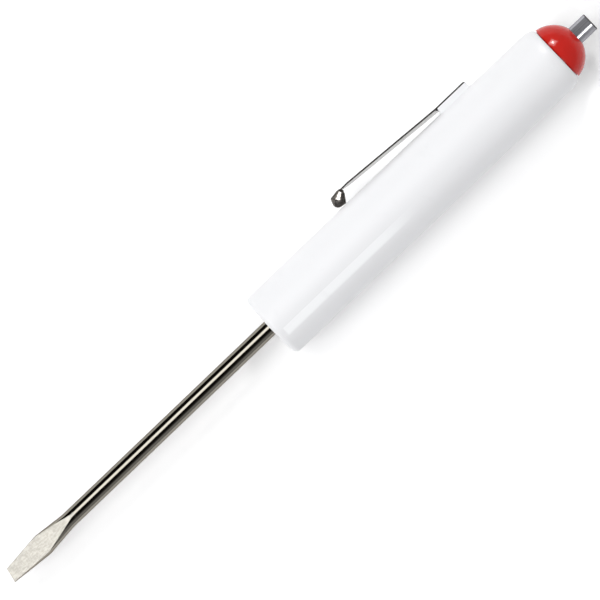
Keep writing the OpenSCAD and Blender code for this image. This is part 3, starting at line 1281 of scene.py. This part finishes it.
        points = np.concatenate([swept_sheet(line, across).reshape(-1, 3),
                                 swept_sheet(tongue, width * self.tongue_share).reshape(-1, 3)])
        made = make_mesh("clip_strip", turned_about_x(points, self.turn),
                         np.concatenate([faces, tongue_faces.reshape(-1, 4)]).tolist(), self.crease)
        rear_leg = (line[:, 0] > self.root) & (line[:, 1] < self.mid_y - self.leg_share * self.bend)
        front_leg = np.arange(len(tongue)) > len(drop)
        paint(made, 1 + np.concatenate([np.repeat(rear_leg[:-1], keep.sum(axis=1)),
                                        np.repeat(front_leg, len(width) - 1)]))
        return made

    def bud(self) -> bpy.types.Object:
        """Makes the bud folded from sheet.

        Its sides are nearly flat facets. At an angle from a facet's middle, a flat one's radius is
        its own distance over the cosine of that angle, and bud_flat_share of that change is kept.
        Along the bud the radius follows straight lines from the neck to the widest place and in
        to the blunt end. A seam takes seam_share off it, times a bell curve of the angle from the
        seam, and eases in at seam_from_share of the length.

        Returns:
            The bud's object.
        """
        shares = self.length_shares
        rows = spans(*((a, b, self.bud_rows) for a, b in zip(shares, shares[1:])))
        steps = np.append(rows, shares[-1])
        angles = np.radians(spans((0.0, 360.0, self.facet_columns * self.bud_facets)))
        share, angle = np.meshgrid(steps, angles, indexing="ij")
        facet = 2.0 * math.pi / self.bud_facets
        chord = math.cos(facet / 2.0) / np.cos(angle % facet - facet / 2.0)
        flat = 1.0 + self.bud_flat_share * (chord - 1.0)
        seams = math.degrees(facet) * np.array(self.seam_facets)
        off = np.abs((np.degrees(angle)[..., None] - seams + 180.0) % 360.0 - 180.0).min(axis=-1)
        opening = smooth((share - self.seam_from_share) / self.seam_ease_share)
        seam = self.seam_share * np.exp(-np.square(off / self.seam_width)) * opening
        radius = np.interp(share, shares, self.radius_shares) * self.bud_r * flat * (1.0 - seam)
        turned = angle + math.radians(self.bud_roll)
        along, out, aside = -share * self.bud_len, radius * np.cos(turned), radius * np.sin(turned)
        dip = math.radians(self.bud_dip)
        x = self.neck[0] + along * math.cos(dip) + out * math.sin(dip)
        y = self.neck[1] + along * math.sin(dip) - out * math.cos(dip)
        rings = turned_about_x(np.stack([x, y, aside], axis=-1), self.turn)
        return tube("clip_bud", rings[:, ::-1], self.bud_crease)

    def build(self, steel: bpy.types.Material, edge_shade: bpy.types.Material,
              folded: bpy.types.Material) -> list[bpy.types.Object]:
        """Makes the strip and the bud.

        The strip's edges take the material one place before their faces' own, so that along the arm
        they are painted shade, dark for the dark reflection there, and on the legs bright.

        Args:
            steel: The strip's finish.
            edge_shade: Painted shade for its edges along the arm.
            folded: The bud's finish.

        Returns:
            Both pieces. The strip stays where it is made, on no body, and the bud rides on the clip.
        """
        strip = self.strip()
        wall = strip.modifiers.new("sheet_thickness", "SOLIDIFY")
        wall.thickness = self.thick
        wall.offset = 0.0
        wall.use_even_offset = True
        # The arm's edges take the painted shade, and the legs' edges the bright steel.
        wall.material_offset_rim = -1
        edge = strip.modifiers.new("rolled_edge", "BEVEL")
        edge.width = self.rolled
        edge.segments = 2
        edge.limit_method = "ANGLE"
        edge.angle_limit = math.radians(self.rolled_from)
        dress(strip, Slot.CLIP, edge_shade, steel, steel)
        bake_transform(strip)
        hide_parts("clip_root")
        bud = self.bud()
        dress(bud, Slot.CLIP, folded)
        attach(bud, Side.CLIP.value)
        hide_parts("clip_arm")
        return [strip, bud]


# Studio


def facing(place: Vector, target: Vector, roll: float) -> Matrix:
    """Where something stands that looks from a place at a target.

    Its own Z points back from the target, its X is the way up crossed with Z, and its Y is Z
    crossed with X. The way up is level, at the angle roll from +Y towards +X.

    Args:
        place: Where it stands.
        target: What it looks at.
        roll: The turn of its way up.

    Returns:
        Its world matrix.
    """
    upward = Vector((math.sin(math.radians(roll)), math.cos(math.radians(roll)), 0.0))
    back = (place - target).normalized()
    right = upward.cross(back).normalized()
    turn = Matrix((right, back.cross(right), back)).transposed()
    return Matrix.Translation(place) @ turn.to_4x4()


@dataclass(frozen=True)
class SoftLight:
    """A white rectangular soft light that faces the tool."""

    name: str
    place: tuple[float, float, float]
    size: tuple[float, float]
    power: float
    roll: float = 0.0
    gloss_only: bool = False

    def build(self, target: Vector) -> bpy.types.Object:
        """Makes the light.

        Args:
            target: The point that it faces.

        Returns:
            The light's object.
        """
        lamp = bpy.data.lights.new(self.name, "AREA")
        lamp.shape = "RECTANGLE"
        lamp.size, lamp.size_y = self.size
        lamp.energy = self.power
        made = bpy.data.objects.new(self.name, lamp)
        made.visible_diffuse = not self.gloss_only
        made.matrix_world = facing(Vector(self.place), target, self.roll)
        bpy.context.scene.collection.objects.link(made)
        return made


@dataclass
class Studio:
    """The white table, the dim room round it, the soft lights and the camera.

    The two numbers of wall_height, wall_side and end_reach are the parts of a ray's direction, up,
    across and along the tool, where the room's colour starts to change and where it has changed.
    """

    table_z: float = -TOOL.barrel_r
    table_half: float = 3.0
    table_colour: Colour = (0.98, 0.98, 0.98)
    table_roughness: float = 0.9
    table_lift: float = 0.13
    aim: tuple[float, float, float] = (75.49 * MM, -0.12 * MM, 0.0)
    camera_place: tuple[float, float, float] = (142.0 * MM, -0.12 * MM, 1570.0 * MM)
    camera_roll: float = 43.74
    lens: float = 500.0
    sensor: float = 36.0
    camera_range: tuple[float, float] = (0.01, 20.0)
    dim: Colour = (0.010, 0.009, 0.007)
    wall: Colour = (0.45, 0.45, 0.455)
    ends: Colour = (0.66, 0.66, 0.67)
    wall_height: tuple[float, float] = (0.86, 0.48)
    wall_side: tuple[float, float] = (0.10, -0.30)
    end_reach: tuple[float, float] = (0.18, 0.42)
    lights: tuple[SoftLight, ...] = (
        SoftLight("overhead_softbox", (-0.075, 0.215, 0.56), (0.37, 0.36), 1.30),
        SoftLight("magnet_strip", (0.148, -0.36, 0.50), (0.032, 0.30), 0.22, roll=-3.4),
        SoftLight("key_softbox", (0.49, 0.42, 0.42), (0.10, 0.10), 1.40),
        SoftLight("key_halo", (0.498, 0.43, 0.43), (0.27, 0.27), 2.2, gloss_only=True),
        SoftLight("end_softbox", (-0.42, 0.05, 0.50), (0.30, 0.30), 1.25),
    )

    def table(self) -> bpy.types.Object:
        """Makes the table: a plane that also glows a little where the camera or gloss sees it.

        Returns:
            The table's object.
        """
        half, z = self.table_half, self.table_z
        plane = np.array([[-half, -half, z], [half, -half, z], [half, half, z], [-half, half, z]])
        made = make_mesh("white_table", plane, [[0, 1, 2, 3]])
        material, tree, shader = new_material(
            "white_table", Base_Color=(*self.table_colour, 1.0), Roughness=self.table_roughness,
            Specular_IOR_Level=0.0, Emission_Color=(*WHITE, 1.0))
        path = tree.add("ShaderNodeLightPath").outputs
        seen = tree.calc("MAXIMUM", path["Is Camera Ray"], path["Is Glossy Ray"])
        seen = tree.calc("MAXIMUM", seen, path["Is Transmission Ray"])
        tree.join(tree.calc("MULTIPLY", seen, self.table_lift), shader.inputs["Emission Strength"])
        made.data.materials.append(material)
        return made

    def room(self) -> None:
        """Makes the world: dim along the tool's middle, with pale ends and a pale low wall.

        The wall is on the side away from the clip. Every part is a function of the ray's own
        direction.
        """
        world = bpy.data.worlds.new("dim_room")
        bpy.context.scene.world = world
        world.use_nodes = True
        world.node_tree.nodes.clear()
        tree = Tree(world.node_tree)
        parts = tree.parts(tree.place("Generated"))
        low = tree.spread(parts["Z"], *self.wall_height)
        away = tree.spread(parts["Y"], *self.wall_side)
        middle = tree.tint(tree.calc("MULTIPLY", low, away), self.dim, self.wall)
        outward = tree.spread(tree.calc("ABSOLUTE", parts["X"]), *self.end_reach)
        back = tree.add("ShaderNodeBackground")
        tree.join(tree.tint(outward, middle, self.ends), back.inputs["Color"])
        tree.join(back.outputs[0], tree.add("ShaderNodeOutputWorld").inputs["Surface"])

    def camera(self) -> bpy.types.Object:
        """Makes the camera, over the magnet's end, with the tool's axis rising to the right.

        Returns:
            The camera's object, which is the scene's camera.
        """
        lens = bpy.data.cameras.new("catalogue_camera")
        lens.lens = self.lens
        lens.sensor_width = self.sensor
        lens.clip_start, lens.clip_end = self.camera_range
        made = bpy.data.objects.new("catalogue_camera", lens)
        made.matrix_world = facing(Vector(self.camera_place), Vector(self.aim), self.camera_roll)
        bpy.context.scene.collection.objects.link(made)
        bpy.context.scene.camera = made
        return made

    def build(self) -> None:
        """Sets up the table, the room, the lights, the camera and the view's colours."""
        self.table()
        self.room()
        for light in self.lights:
            light.build(Vector(self.aim))
        self.camera()
        bpy.context.scene.view_settings.view_transform = "Standard"


def main() -> None:
    """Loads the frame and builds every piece."""
    logging.basicConfig(level=logging.INFO, format="%(message)s")
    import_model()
    finishes = Finishes()
    wire, ground = WIRE.build(finishes), GroundSteel().build(finishes)
    # Painted shade for the clip's edges and the magnet's end rim.
    edge_shade = SHADE_PAINTED_EDGE.build(finishes)
    pieces = [
        Blade().build(wire, ground),
        Barrel().build(SatinPlastic().build(finishes)),
        Button().build(GlossPlastic().build(finishes)),
        Magnet().build(PLATING.build(finishes), edge_shade),
        *PocketClip().build(SPRING.build(finishes), edge_shade, FOLDED.build(finishes)),
    ]
    for piece in pieces:
        log.info("%s: %d faces", piece.name, len(piece.data.polygons))
    Studio().build()


if __name__ == "__main__":
    main()
